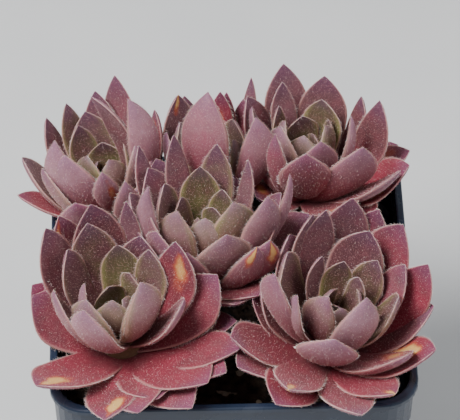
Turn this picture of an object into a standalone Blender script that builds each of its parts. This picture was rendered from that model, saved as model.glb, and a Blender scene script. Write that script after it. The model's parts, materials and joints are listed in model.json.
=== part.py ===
"""A potted houseleek: six crowded rosettes of fleshy leaves in a square nursery pot.

Lengths are in millimetres and angles in degrees until a mesh is made, which is in
metres. The origin is the centre of the pot's base, +Z is up and the front faces -Y.
"""

import math
import random

import bmesh
import bpy
from mathutils import Matrix, Vector
from mathutils.bvhtree import BVHTree

MM = 0.001
GAP = 0.3

# Pot
RIM_SIDE = 90.0
RIM_CORNER = 9.3
POT_HEIGHT = 80.0
BASE_SIDE = 64.0
BASE_CORNER = 7.5
WALL = 1.1
RIM_WIDTH = 2.0
RIM_DROP = 1.7
RIM_ROUND = 0.5
COLLAR_INSET = 0.8
COLLAR_DROP = 13.0
COLLAR_STEP = 1.4
FLOOR = 1.4
DRAIN_RADIUS = 2.6
DRAIN_RING = 19.0
CORNER_POINTS = 7

# Soil
SOIL_FRONT_DROP = 15.5
SOIL_BACK_DROP = 12.5
SOIL_MOUND = 1.5
SOIL_RINGS = 6

# Leaf, as shares of its length unless a unit is given
GOLDEN_ANGLE = 137.508
STATIONS = (0.0, 0.28, 0.56, 0.8, 1.0)
FILLING_STATIONS = (0.0, 0.4, 0.72, 1.0)
YOUNG_LENGTH = 24.0
LEAST_WIDTH = 5.4
WIDTH_GROWTH = 0.28
WIDEST_AT = 0.62
BASE_WIDTH_SHARE = 0.6
POINTEDNESS = 2.0
THICKNESS = 2.9
TIP_THICKNESS = 0.8
DISH_SHARE = 0.16
YOUNG_LENGTH_SHARE = 0.24
GROWTH_LEAVES = 8.0
LATE_AGE = 0.65
LATE_SHORTENING = 0.12

# Rosette
LEAVES = 36
BUD_LEAVES = 5
SAME_BEARING = 22.0
SAME_LENGTH = 5.0
PITCH = 0.36
LOWEST_SEAT = 20
CORE_TOP_RADIUS = 1.8
CORE_RADIUS = 5.6
CORE_SIDES = 9
STEM_RADIUS = 3.4
STEM_DEPTH = 10.0
SEAT_START = 0.8
SEAT_STEP = 0.13
HEART_RISE = 86.5
MIDDLE_RISE = 33.0
RISE_POWER = 0.66
LATE_DROP = 25.0
FLAT_RISE = 12.0
BEND_GROWTH = 1.15
MOST_BEND = 70.0
TWIST = 9.0
FULL_TWIST_AT = 0.6
CLEAR = 0.4
OUTLINE_PARTS = 5
RAISE_STEP = 2.0
STEEPEST = 88.0
SHORTEN = 0.94
SHORTEST = 11.0
STANDING_LIFT = 90.0
FILLING_LIFT = 8.0

# Each rosette: foot of its heart (x, y, height over the rim), lean towards +X and +Y,
# bearing of its youngest leaf, the way its spiral turns, and its longest leaf.
ROSETTES = {
    "rosette_front_left": dict(
        heart=(-27.5, -20.5, 4.0), lean=(-5.0, -3.0), first=209.0, turn=1, leaf=33.0
    ),
    "rosette_front_right": dict(
        heart=(24.0, -21.5, 3.5), lean=(12.0, -8.0), first=58.0, turn=-1, leaf=33.0
    ),
    "rosette_centre": dict(
        heart=(-6.0, 2.0, 7.5), lean=(0.0, 3.0), first=319.0, turn=-1, leaf=33.0
    ),
    "rosette_back_right": dict(
        heart=(20.5, 31.0, 8.0), lean=(0.0, 6.0), first=162.0, turn=-1, leaf=32.0
    ),
    "rosette_back_left": dict(
        heart=(-30.0, 25.0, 6.0), lean=(-8.0, 8.0), first=35.0, turn=1, leaf=31.0
    ),
    "rosette_back_centre": dict(
        heart=(-3.0, 28.5, 6.0), lean=(0.0, 6.0), first=147.0, turn=1, leaf=31.0
    ),
}

# Leaves that stand out in each rosette, from the heart outwards: bearing, rise, length,
# breadth against the usual, and how far the leaf is turned about its own length.
STANDING_OUT = {
    "rosette_front_left": (
        (-46, 68, 28, 0.85, -5), (194, 72, 22, 0.5, 4), (82, 66, 24, 0.85, 7),
        (34, 65, 26, 0.75, 20), (244, 60, 30, 0.85, -5), (-24, 48, 28, 0.75, 4),
        (146, 64, 29, 0.8, 7), (112, 63, 32, 0.88, -3), (12, 62, 35, 0.78, 45),
        (2, 40, 33, 1.0, 50), (104, 61, 37, 0.9, 7), (146, 61, 38, 0.78, -3),
        (168, 30, 27, 1.2, -30), (-82, 20, 34, 1.0, 4), (232, 28, 36, 1.0, 7),
        (-50, 22, 36, 1.05, -3), (160, 30, 28, 1.1, -30), (264, 20, 36, 0.8, 4),
        (-60, 16, 36, 0.85, 7), (-40, 20, 36, 0.85, -3), (-4, 16, 30, 0.9, -5),
        (126, 55, 37, 0.75, 4), (78, 58, 37, 0.38, 7), (-28, 22, 36, 0.9, -3),
    ),
    "rosette_front_right": (
        (92, 67, 20, 0.7, -5), (44, 78, 20, 0.5, 4), (224, 72, 22, 0.85, 7),
        (128, 65, 23, 0.45, -3), (208, 58, 28, 0.55, -5), (46, 64, 25, 0.75, 4),
        (-76, 72, 32, 0.85, 7), (70, 63, 31, 0.98, -3), (194, 56, 36, 0.7, 30),
        (20, 62, 31, 0.7, 4), (258, 54, 30, 1.1, 7), (112, 61, 36, 0.6, -3),
        (48, 61, 38, 0.92, -5), (122, 60, 36, 0.6, 4), (90, 59, 39, 0.88, 7),
        (12, 59, 37, 0.78, 35), (-50, 46, 34, 0.9, -5), (244, 30, 36, 0.78, 4),
        (-36, 42, 36, 0.95, 7), (208, 30, 36, 0.85, -3), (242, 20, 36, 0.9, -5),
        (-84, 30, 40, 0.75, 4), (-66, 34, 36, 0.8, 7), (174, 30, 24, 0.9, -3),
        (70, 54, 37, 0.85, -5), (218, 22, 34, 0.9, 4),
    ),
    "rosette_centre": (
        (-28, 70, 22, 1.0, -45), (144, 66, 18, 0.75, 4), (58, 65, 19, 0.7, 7),
        (216, 68, 23, 0.85, 30), (96, 64, 25, 0.85, -5), (-76, 54, 33, 1.05, 4),
        (-20, 60, 32, 0.68, -50), (78, 62, 32, 0.62, -3), (44, 61, 31, 0.38, -5),
        (256, 50, 32, 0.65, 4), (114, 59, 36, 0.45, 7), (-4, 58, 39, 0.34, -30),
        (198, 62, 36, 0.36, 50), (-52, 48, 37, 0.68, -30), (-60, 48, 36, 0.55, -20),
        (140, 55, 37, 0.42, -3), (-74, 24, 28, 0.95, -5), (-62, 18, 30, 0.85, 4),
    ),
    "rosette_back_right": (
        (30, 67, 16, 0.65, -5), (-80, 56, 26, 0.85, 4), (144, 65, 21, 0.65, 7),
        (-28, 64, 27, 0.36, -3), (120, 63, 27, 0.55, -5), (266, 50, 35, 0.9, 4),
        (70, 61, 29, 0.95, 7), (-58, 50, 37, 0.85, -20), (238, 60, 33, 0.45, -5),
        (-8, 59, 35, 0.68, 50), (26, 58, 29, 0.52, 7), (108, 57, 33, 0.8, -3),
        (-34, 34, 36, 0.85, 30), (-46, 36, 39, 0.58, 4), (-74, 28, 34, 0.85, 7),
    ),
    "rosette_back_left": (
        (130, 67, 21, 0.75, -5), (-86, 52, 26, 0.52, 4), (238, 60, 29, 0.88, 15),
        (0, 90, 34, 0.6, 45), (-18, 74, 36, 0.58, -40), (124, 62, 30, 0.55, 4),
        (226, 66, 34, 0.65, 20), (92, 60, 32, 0.65, -3), (74, 60, 36, 0.6, -5),
        (146, 59, 31, 0.55, 4), (54, 58, 24, 0.5, 7), (-70, 50, 30, 0.5, -3),
        (32, 56, 30, 0.55, -5), (190, 16, 27, 0.8, 4), (258, 42, 36, 0.9, 7),
    ),
    "rosette_back_centre": (
        (248, 74, 34, 0.88, -5), (82, 65, 26, 0.52, 4), (-34, 68, 32, 0.66, -50),
        (76, 62, 28, 0.42, -3), (140, 60, 32, 0.8, -5), (58, 58, 34, 0.3, 4),
        (118, 56, 29, 0.65, 7), (62, 55, 28, 0.5, -3),
    ),
}

# sRGB colour, roughness and metallic value of each material
FINISHES = {
    "pot_plastic": ((0.10, 0.13, 0.18), 0.32, 0.0),
    "potting_soil": ((0.13, 0.10, 0.08), 0.95, 0.0),
    "houseleek_leaf": ((0.42, 0.20, 0.22), 0.72, 0.0),
}


def clear_scene():
    for old in list(bpy.data.objects):
        bpy.data.objects.remove(old, do_unlink=True)


def linear(channel):
    return channel / 12.92 if channel <= 0.04045 else ((channel + 0.055) / 1.055) ** 2.4


def material(name):
    """The named finish as a Principled BSDF, made once."""
    found = bpy.data.materials.get(name)
    if found is not None:
        return found
    colour, roughness, metallic = FINISHES[name]
    made = bpy.data.materials.new(name)
    made.use_nodes = True
    shader = made.node_tree.nodes["Principled BSDF"]
    shader.inputs["Base Color"].default_value = (*map(linear, colour), 1.0)
    shader.inputs["Roughness"].default_value = roughness
    shader.inputs["Metallic"].default_value = metallic
    return made


def add_object(name, points, faces, finish=None):
    """A mesh object from points in millimetres, linked to the scene."""
    mesh = bpy.data.meshes.new(name)
    mesh.from_pydata([Vector(p) * MM for p in points], [], faces)
    mesh.update()
    made = bpy.data.objects.new(name, mesh)
    bpy.context.scene.collection.objects.link(made)
    if finish is not None:
        mesh.materials.append(material(finish))
    return made


def rounded_square(half, corner, height):
    """One loop of a square with round corners, counter-clockwise from the front right."""
    loop = []
    for quarter, (sx, sy) in enumerate(((1, -1), (1, 1), (-1, 1), (-1, -1))):
        for step in range(CORNER_POINTS):
            angle = math.radians(90.0 * (quarter - 1) + 90.0 * step / (CORNER_POINTS - 1))
            x = sx * (half - corner) + corner * math.cos(angle)
            y = sy * (half - corner) + corner * math.sin(angle)
            loop.append(Vector((x, y, height)))
    return loop


def stack_faces(loops):
    """Faces of a closed body: a stack of equal loops, capped at both ends."""
    count = len(loops[0])
    faces = [tuple(reversed(range(count)))]
    for level in range(len(loops) - 1):
        low, high = level * count, (level + 1) * count
        for a in range(count):
            b = (a + 1) % count
            faces.append((low + a, low + b, high + b, high + a))
    top = (len(loops) - 1) * count
    faces.append(tuple(top + a for a in range(count)))
    return faces


def pot_wall_half(height, inside):
    """Half the pot's width at a height, on its outer or inner face, below the rim."""
    step_top = POT_HEIGHT - COLLAR_DROP
    collar_low = RIM_SIDE / 2 - COLLAR_INSET - 0.5
    collar_high = RIM_SIDE / 2 - COLLAR_INSET
    if height >= step_top:
        share = (height - step_top) / COLLAR_DROP
        half = collar_low + (collar_high - collar_low) * share
    else:
        share = max(0.0, height / (step_top - COLLAR_STEP))
        half = BASE_SIDE / 2 + (collar_low - COLLAR_STEP - BASE_SIDE / 2) * min(1.0, share)
    return half - WALL if inside else half


def pot_corner(half):
    """Corner radius that goes with a half width."""
    share = (half - BASE_SIDE / 2) / (RIM_SIDE / 2 - BASE_SIDE / 2)
    return BASE_CORNER + (RIM_CORNER - BASE_CORNER) * share


def make_pot():
    rim = RIM_SIDE / 2
    step_top = POT_HEIGHT - COLLAR_DROP
    step_low = step_top - COLLAR_STEP
    under_rim = POT_HEIGHT - RIM_DROP
    inner_rim = rim - RIM_WIDTH
    outer = [
        (BASE_SIDE / 2 - 0.8, 0.0),
        (BASE_SIDE / 2, 0.8),
        (pot_wall_half(step_low, False), step_low),
        (pot_wall_half(step_top, False), step_top),
        (rim - COLLAR_INSET, under_rim),
        (rim - 0.2, under_rim),
        (rim, under_rim + 0.2),
        (rim, POT_HEIGHT - RIM_ROUND),
        (rim - 0.3 * RIM_ROUND, POT_HEIGHT - 0.3 * RIM_ROUND),
        (rim - RIM_ROUND, POT_HEIGHT),
    ]
    inner = [
        (inner_rim + RIM_ROUND, POT_HEIGHT),
        (inner_rim + 0.3 * RIM_ROUND, POT_HEIGHT - 0.3 * RIM_ROUND),
        (inner_rim, POT_HEIGHT - RIM_ROUND),
        (pot_wall_half(step_top, True), step_top - WALL * 0.3),
        (pot_wall_half(step_low, True), step_low - WALL * 0.3),
        (pot_wall_half(FLOOR, True), FLOOR),
    ]
    loops = [rounded_square(half, pot_corner(half), z) for half, z in outer + inner]
    points = [p for loop in loops for p in loop]
    pot = add_object("pot", points, stack_faces(loops), "pot_plastic")
    for number in range(8):
        angle = math.radians(45.0 * number)
        ring = DRAIN_RING * (1.25 if number % 2 else 1.0)
        x, y = ring * math.cos(angle), ring * math.sin(angle)
        cut_hole(pot, x, y, DRAIN_RADIUS, -2.0, FLOOR + 2.0)
    shade(pot)
    return pot


def cylinder(name, x, y, radius, low, high, sides):
    """A closed upright cylinder."""
    loops = []
    for z in (low, high):
        ring = [math.radians(360.0 * k / sides) for k in range(sides)]
        loops.append([Vector((x + radius * math.cos(a), y + radius * math.sin(a), z)) for a in ring])
    return add_object(name, loops[0] + loops[1], stack_faces(loops))


def cut_hole(body, x, y, radius, low, high):
    """Cuts a plain round hole through a body and applies the cut."""
    cutter = cylinder("hole_cutter", x, y, radius, low, high, 14)
    cutter.hide_render = True
    cutter.display_type = "WIRE"
    cut = body.modifiers.new("hole", "BOOLEAN")
    cut.operation = "DIFFERENCE"
    cut.object = cutter
    apply_modifiers(body)
    bpy.data.objects.remove(cutter, do_unlink=True)


def apply_modifiers(body):
    """Bakes a body's modifiers into its mesh."""
    graph = bpy.context.evaluated_depsgraph_get()
    graph.update()
    baked = bpy.data.meshes.new_from_object(body.evaluated_get(graph))
    old = body.data
    body.modifiers.clear()
    body.data = baked
    bpy.data.meshes.remove(old)


def shade(body, angle=35.0):
    body.data.shade_smooth()
    body.data.set_sharp_from_angle(angle=math.radians(angle))


def soil_height(x, y):
    """Height of the soil's surface: lower at the front, gently mounded."""
    half = RIM_SIDE / 2
    back = (y / half + 1.0) / 2.0
    drop = SOIL_FRONT_DROP + (SOIL_BACK_DROP - SOIL_FRONT_DROP) * back
    edge = max(abs(x), abs(y)) / half
    return POT_HEIGHT - drop + SOIL_MOUND * (1.0 - edge**2)


def make_soil():
    low = FLOOR + GAP
    loops = []
    steps = (low, POT_HEIGHT - COLLAR_DROP - COLLAR_STEP - 1.0)
    for z in steps:
        half = pot_wall_half(z, True) - 2 * GAP
        loops.append(rounded_square(half, pot_corner(half), z))
    surface_half = pot_wall_half(steps[1], True) - 2 * GAP
    for ring in range(SOIL_RINGS):
        half = surface_half * (1.0 - ring / SOIL_RINGS)
        loop = rounded_square(half, pot_corner(surface_half) * half / surface_half, 0.0)
        for p in loop:
            p.z = soil_height(p.x, p.y)
        loops.append(loop)
    points = [p for loop in loops for p in loop]
    soil = add_object("soil", points, stack_faces(loops), "potting_soil")
    for rosette in ROSETTES.values():
        x, y, _ = rosette["heart"]
        floor = soil_height(x, y) - STEM_DEPTH
        cut_hole(soil, x, y, STEM_RADIUS + GAP, floor - GAP, POT_HEIGHT + 20.0)
    shade(soil)
    return soil


def leaf_half_width(share):
    """Half width along a leaf, as a share of its greatest: spoon-shaped with a point."""
    if share <= WIDEST_AT:
        grown = math.sin(0.5 * math.pi * share / WIDEST_AT)
        return BASE_WIDTH_SHARE + (1.0 - BASE_WIDTH_SHARE) * grown
    past = (share - WIDEST_AT) / (1.0 - WIDEST_AT)
    return 1.0 - past**POINTEDNESS


def leaf_thickness(share):
    """Thickness along a leaf, in millimetres."""
    return TIP_THICKNESS + (THICKNESS - TIP_THICKNESS) * (1.0 - share**2.4)


class Leaf:
    """One leaf's place and size, in its rosette's own frame."""

    def __init__(self, rosette, number, rng, standing_out=None):
        age = number / (LEAVES - 1)
        late = max(0.0, (age - LATE_AGE) / (1.0 - LATE_AGE))
        young = (1.0 - YOUNG_LENGTH_SHARE) * math.exp(-number / GROWTH_LEAVES)
        if standing_out is None:
            self.bearing = rosette["first"] + rosette["turn"] * GOLDEN_ANGLE * number
            self.length = rosette["leaf"] * (1.0 - young) * (1.0 - LATE_SHORTENING * late)
            self.rise = HEART_RISE + (MIDDLE_RISE - HEART_RISE) * age**RISE_POWER
            self.rise -= LATE_DROP * late**1.5
            self.breadth = 1.0
            self.shares = FILLING_STATIONS
            self.twist = rng.uniform(-TWIST, TWIST) * min(1.0, number / 8.0)
        else:
            self.bearing, self.rise, self.length, self.breadth, self.twist = standing_out
            self.shares = STATIONS if self.length > YOUNG_LENGTH else FILLING_STATIONS
        self.half = 0.5 * self.breadth * (LEAST_WIDTH + WIDTH_GROWTH * self.length)
        self.seat = SEAT_START + SEAT_STEP * number
        across = self.length * math.cos(math.radians(self.rise)) - self.seat
        upward = self.length * math.sin(math.radians(self.rise))
        self.rise = math.degrees(math.atan2(upward, across))
        self.bend = min(MOST_BEND, BEND_GROWTH * (self.rise - FLAT_RISE))
        half_turn = math.radians(0.5 * self.bend)
        self.length = math.hypot(across, upward)
        self.length *= half_turn / math.sin(half_turn) if abs(half_turn) > 0.01 else 1.0
        self.drop = PITCH * min(number, LOWEST_SEAT)
        self.size = min(1.0, self.length / rosette["leaf"] + 0.1)

    def like(self, other):
        """Whether another leaf already fills this one's place."""
        turn = abs((self.bearing - other.bearing + 180.0) % 360.0 - 180.0)
        return turn < SAME_BEARING and abs(self.length - other.length) < SAME_LENGTH

    def stations(self, frame, shares):
        """Middle, side and upward directions at shares of the length, in the pot's frame."""
        bearing = math.radians(self.bearing)
        out = Vector((math.cos(bearing), math.sin(bearing), 0.0))
        along = Vector((-math.sin(bearing), math.cos(bearing), 0.0))
        found = []
        point = out * self.seat - Vector((0.0, 0.0, self.drop))
        before = 0.0
        for share in shares:
            angle = math.radians(self.rise + self.bend * (0.5 * (share + before) - 0.5))
            step = (share - before) * self.length
            point = point + (out * math.cos(angle) + Vector((0, 0, math.sin(angle)))) * step
            before = share
            angle = math.radians(self.rise + self.bend * (share - 0.5))
            forward = out * math.cos(angle) + Vector((0, 0, math.sin(angle)))
            turn = math.radians(self.twist * min(1.0, share / FULL_TWIST_AT))
            side = Matrix.Rotation(turn, 3, forward) @ along
            up = side.cross(forward) * -1.0
            turned = frame.to_3x3()
            found.append((frame @ point, turned @ side, turned @ up))
        return found

    def sections(self, frame):
        """Five-cornered cross-sections from root to tip, the last one being the tip."""
        loops = []
        for share, (middle, side, up) in zip(self.shares, self.stations(frame, self.shares)):
            width = self.half * leaf_half_width(share)
            thick = leaf_thickness(share) * self.size
            dish = DISH_SHARE * width
            loops.append(
                [
                    middle + side * width + up * dish,
                    middle + up * 0.3 * thick,
                    middle - side * width + up * dish,
                    middle - side * 0.5 * width - up * 0.62 * thick,
                    middle + side * 0.5 * width - up * 0.62 * thick,
                ]
            )
        loops[-1] = [middle] * len(loops[0])
        return loops

    def outline(self, frame):
        """Points of the leaf's surface that have to stay clear of other things."""
        points = []
        loops = self.sections(frame)
        for low, high in zip(loops, loops[1:]):
            for part in range(1, OUTLINE_PARTS + 1):
                share = part / OUTLINE_PARTS
                points.extend(a.lerp(b, share) for a, b in zip(low, high))
        return points[len(points) // 4 :]

    def solid(self, frame):
        """Points and faces of the leaf's closed body."""
        loops = self.sections(frame)
        tip = loops.pop()[0]
        count = len(loops[0])
        points = [p for loop in loops for p in loop] + [tip]
        faces = [tuple(reversed(range(count)))]
        for level in range(len(loops) - 1):
            low, high = level * count, (level + 1) * count
            for a in range(count):
                b = (a + 1) % count
                faces.append((low + a, low + b, high + b))
                faces.append((low + a, high + b, high + a))
        last = (len(loops) - 1) * count
        for a in range(count):
            faces.append((last + a, last + (a + 1) % count, len(points) - 1))
        return points, faces


def rosette_frame(rosette):
    """The rosette's own frame: leaning, with its origin at the foot of its heart."""
    x, y, height = rosette["heart"]
    lean_x, lean_y = (math.radians(a) for a in rosette["lean"])
    lean = Vector((lean_x, lean_y, 0.0))
    axis = Vector((-lean_y, lean_x, 0.0))
    turn = Matrix.Identity(4)
    if lean.length > 0.0:
        turn = Matrix.Rotation(lean.length, 4, axis.normalized())
    return Matrix.Translation((x, y, POT_HEIGHT + height)) @ turn


def buried(point):
    """Whether a point is in the soil or in the pot's wall."""
    half = RIM_SIDE / 2
    reach = max(abs(point.x), abs(point.y))
    if reach < half - RIM_WIDTH - CLEAR:
        return point.z < soil_height(point.x, point.y) + CLEAR
    if reach < half + CLEAR:
        return point.z < POT_HEIGHT + CLEAR
    return False


def solid_tree(bodies):
    """A search tree of closed bodies, each given as points and faces."""
    points, faces = [], []
    for body_points, body_faces in bodies:
        first = len(points)
        points.extend(body_points)
        faces.extend([first + k for k in face] for face in body_faces)
    return BVHTree.FromPolygons(points, faces, epsilon=CLEAR)


def settle(leaf, frame, neighbours, lift):
    """Raises a leaf until it is clear of what surrounds it, and shortens it if need be."""
    wanted = leaf.rise
    highest = max(min(STEEPEST, wanted + lift), wanted + 2 * RAISE_STEP)

    def blocked():
        if any(buried(point) for point in leaf.outline(frame)):
            return True
        return bool(solid_tree([leaf.solid(frame)]).overlap(neighbours))

    while blocked():
        leaf.rise += RAISE_STEP
        if leaf.rise > highest:
            leaf.rise = wanted
            leaf.length *= SHORTEN
            if leaf.length < SHORTEST:
                return False
    return True


def standing_leaves(name, rng):
    """The leaves of a rosette that stand out, from the heart outwards."""
    rosette = ROSETTES[name]
    seen = STANDING_OUT[name]
    spread = (LEAVES - 1 - BUD_LEAVES) / len(seen)
    numbers = [BUD_LEAVES + spread * place for place in range(len(seen))]
    return [Leaf(rosette, number, rng, row) for number, row in zip(numbers, seen)]


def filling_leaves(name, rng, standing):
    """The leaves that the spiral adds where none that stands out fills the place."""
    rosette = ROSETTES[name]
    spiral = [Leaf(rosette, number, rng) for number in range(LEAVES)]
    return [leaf for leaf in spiral if not any(leaf.like(other) for other in standing)]


def core_loops(name, sides):
    """Rings of the short stem: an upright root in the soil and a leaning core above it."""
    rosette = ROSETTES[name]
    frame = rosette_frame(rosette)
    x, y, _ = rosette["heart"]
    ring = [math.radians(360.0 * k / sides) for k in range(sides)]
    foot = soil_height(x, y) - STEM_DEPTH
    levels = [
        (CORE_RADIUS, -PITCH * LOWEST_SEAT - 3.0),
        (CORE_RADIUS, -PITCH * LOWEST_SEAT * 0.6),
        (0.5 * (CORE_TOP_RADIUS + CORE_RADIUS), 0.6),
        (CORE_TOP_RADIUS, 2.4),
    ]
    loops = []
    for z in (foot, soil_height(x, y) + GAP):
        loops.append(
            [Vector((x + STEM_RADIUS * math.cos(a), y + STEM_RADIUS * math.sin(a), z)) for a in ring]
        )
    for radius, z in levels:
        loops.append([frame @ Vector((radius * math.cos(a), radius * math.sin(a), z)) for a in ring])
    return loops


def all_leaves():
    """Leaves of every rosette: first those that stand out, then those that fill in."""
    cores, frames, chance = {}, {}, {}
    for name, rosette in ROSETTES.items():
        loops = core_loops(name, CORE_SIDES)
        cores[name] = ([p for loop in loops for p in loop], stack_faces(loops))
        frames[name] = rosette_frame(rosette)
        chance[name] = random.Random(name)
    grown = {name: [] for name in ROSETTES}
    for lift in (STANDING_LIFT, FILLING_LIFT):
        for name in ROSETTES:
            others = [core for other, core in cores.items() if other != name]
            for other, leaves in grown.items():
                if other != name:
                    others.extend(leaf.solid(frames[other]) for leaf in leaves)
            neighbours = solid_tree(others)
            if lift == STANDING_LIFT:
                wanted = standing_leaves(name, chance[name])
            else:
                wanted = filling_leaves(name, chance[name], grown[name])
            for leaf in wanted:
                if settle(leaf, frames[name], neighbours, lift):
                    grown[name].append(leaf)
    return grown


def keep_outer_body(body):
    """Fills hollows that the joining sealed and drops loose scraps: the largest shell stays."""
    cleaned = bmesh.new()
    cleaned.from_mesh(body.data)
    bmesh.ops.triangulate(cleaned, faces=cleaned.faces[:])
    left = set(cleaned.faces)
    shells = []
    while left:
        start = left.pop()
        shell, edge_of = {start}, [start]
        while edge_of:
            face = edge_of.pop()
            for edge in face.edges:
                for near in edge.link_faces:
                    if near in left:
                        left.discard(near)
                        shell.add(near)
                        edge_of.append(near)
        shells.append(shell)
    shells.sort(key=len, reverse=True)
    scraps = [face for shell in shells[1:] for face in shell]
    bmesh.ops.delete(cleaned, geom=scraps, context="FACES")
    cleaned.to_mesh(body.data)
    cleaned.free()


def make_rosette(name, leaves):
    """Leaves and core joined into one closed body."""
    frame = rosette_frame(ROSETTES[name])
    loops = core_loops(name, CORE_SIDES)
    body = add_object(name, [p for loop in loops for p in loop], stack_faces(loops), "houseleek_leaf")
    parts = bpy.data.collections.new(name + "_leaves")
    bpy.context.scene.collection.children.link(parts)
    for number, leaf in enumerate(leaves):
        points, faces = leaf.solid(frame)
        blade = add_object(f"{name}_leaf_{number}", points, faces)
        bpy.context.scene.collection.objects.unlink(blade)
        parts.objects.link(blade)
    join = body.modifiers.new("join", "BOOLEAN")
    join.operation = "UNION"
    join.operand_type = "COLLECTION"
    join.collection = parts
    join.solver = "MANIFOLD"
    apply_modifiers(body)
    for blade in list(parts.objects):
        bpy.data.objects.remove(blade, do_unlink=True)
    bpy.data.collections.remove(parts)
    keep_outer_body(body)
    shade(body, 50.0)
    return body


def main():
    clear_scene()
    make_pot()
    make_soil()
    for name, leaves in all_leaves().items():
        make_rosette(name, leaves)


main()
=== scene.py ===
# %% [markdown]
# # A potted houseleek, grown leaf by leaf
#
# A houseleek is a stem so short that it is all leaves. Each leaf is a thick, water-filled
# spoon with a sharp tip, a fringe of stiff hairs along its edge and a fine down all over.
# This lesson loads a plain model of the plant and its nursery pot, then grows finer leaves
# in the very places where the plain ones stand, and gives them skin, colour and hair.

# %% Load the plain model
import json
import math
import random

import bpy
from mathutils import Matrix, Vector
from mathutils.bvhtree import BVHTree

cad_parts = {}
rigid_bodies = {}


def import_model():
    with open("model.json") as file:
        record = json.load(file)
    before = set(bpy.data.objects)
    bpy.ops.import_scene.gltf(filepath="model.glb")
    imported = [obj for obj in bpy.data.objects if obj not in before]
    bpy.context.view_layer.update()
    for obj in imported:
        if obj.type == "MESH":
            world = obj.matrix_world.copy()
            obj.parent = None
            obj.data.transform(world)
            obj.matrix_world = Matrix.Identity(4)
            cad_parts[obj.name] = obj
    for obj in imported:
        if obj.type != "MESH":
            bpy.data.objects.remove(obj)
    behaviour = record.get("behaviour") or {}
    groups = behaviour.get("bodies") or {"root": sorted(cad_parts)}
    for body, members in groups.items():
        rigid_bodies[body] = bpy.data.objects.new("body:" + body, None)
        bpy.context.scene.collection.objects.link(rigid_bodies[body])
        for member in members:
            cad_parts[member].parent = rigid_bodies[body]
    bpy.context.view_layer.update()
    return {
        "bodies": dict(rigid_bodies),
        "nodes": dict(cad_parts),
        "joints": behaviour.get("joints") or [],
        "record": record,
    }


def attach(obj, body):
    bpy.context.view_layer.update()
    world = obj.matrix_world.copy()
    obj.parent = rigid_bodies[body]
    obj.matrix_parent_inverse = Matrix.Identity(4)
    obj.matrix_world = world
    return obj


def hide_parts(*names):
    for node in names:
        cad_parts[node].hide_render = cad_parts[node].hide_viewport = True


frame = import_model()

MM = 0.001
print("nodes:", sorted(frame["nodes"]))

# %% [markdown]
# ## Where the camera stands
#
# The plant is looked down on from a little under 45 degrees, from a good way off with a
# long lens, so the far rim looks almost as wide as the near one. A long lens from far away
# keeps the rosettes at the back as large as those in front.

# %% Camera
CAMERA_RISE = 44.0
CAMERA_TURN = -1.49
CAMERA_REACH = 915.9
LOOK_AT = Vector((0.57, 24.21, 80.0))
LENS = 280.5


def camera_back():
    """Direction from what is looked at to the camera."""
    rise, turn = math.radians(CAMERA_RISE), math.radians(CAMERA_TURN)
    flat = math.cos(rise)
    return Vector((math.sin(turn) * flat, -math.cos(turn) * flat, math.sin(rise)))


lens = bpy.data.cameras.new("camera")
lens.lens = LENS
lens.sensor_width = 36.0
lens.clip_end = 20.0
camera = bpy.data.objects.new("camera", lens)
bpy.context.scene.collection.objects.link(camera)
camera.location = (LOOK_AT + camera_back() * CAMERA_REACH) * MM
camera.rotation_euler = camera_back().to_track_quat("Z", "Y").to_euler()
bpy.context.scene.camera = camera
print("camera at", [round(v, 3) for v in camera.location])

# %% [markdown]
# ## A pale table under soft light
#
# Downy leaves need a broad light: a small lamp would turn every hair into a spark. One
# large panel high on the left is the key, a weaker one fills from the right, and a pale
# sky lights the shade between the leaves.

# %% Floor and light


def colour(code):
    """An sRGB hex colour as the linear values that a shader works in."""
    channels = [int(code[k : k + 2], 16) / 255.0 for k in (1, 3, 5)]
    linear = [c / 12.92 if c <= 0.04045 else ((c + 0.055) / 1.055) ** 2.4 for c in channels]
    return (*linear, 1.0)


def add(tree, kind, settings=None, **links):
    """Adds one node: settings go on the node, links and values into its sockets."""
    node = tree.nodes.new(kind)
    for name, value in (settings or {}).items():
        setattr(node, name, value)
    for name, value in links.items():
        key = int(name[1:]) if name[0] == "_" else name.replace("_", " ")
        if isinstance(value, bpy.types.NodeSocket):
            tree.links.new(value, node.inputs[key])
        elif value is not None:
            node.inputs[key].default_value = value
    return node


def new_material(name):
    """An empty material with its shader and output joined, and the shader returned."""
    made = bpy.data.materials.new(name)
    made.use_nodes = True
    tree = made.node_tree
    tree.nodes.clear()
    shader = add(tree, "ShaderNodeBsdfPrincipled")
    output = add(tree, "ShaderNodeOutputMaterial")
    tree.links.new(shader.outputs[0], output.inputs["Surface"])
    return made, tree, shader


def mesh_object(name, points, faces, edges=(), shown=True):
    """A mesh object from points in millimetres."""
    mesh = bpy.data.meshes.new(name)
    mesh.from_pydata([Vector(p) * MM for p in points], list(edges), faces)
    mesh.update()
    made = bpy.data.objects.new(name, mesh)
    if shown:
        bpy.context.scene.collection.objects.link(made)
    return made


def panel(name, place, size, watts):
    """A square lamp panel that faces the pot."""
    lamp = bpy.data.lights.new(name, "AREA")
    lamp.energy = watts
    lamp.size = size
    made = bpy.data.objects.new(name, lamp)
    made.location = place
    aim = Vector(place) - Vector((0.0, 0.0, 0.08))
    made.rotation_euler = aim.to_track_quat("Z", "Y").to_euler()
    bpy.context.scene.collection.objects.link(made)
    return made


paint, tree, shader = new_material("table_paint")
place = add(tree, "ShaderNodeTexCoord").outputs["Object"]
cloud = add(tree, "ShaderNodeTexNoise", Vector=place, Scale=30.0, Detail=4.0)
tone = add(tree, "ShaderNodeMix", {"data_type": "RGBA"}, _0=cloud.outputs["Fac"])
tone.inputs[6].default_value = colour("#c9cacb")
tone.inputs[7].default_value = colour("#d2d2d1")
tree.links.new(tone.outputs[2], shader.inputs["Base Color"])
shader.inputs["Roughness"].default_value = 0.7

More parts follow.
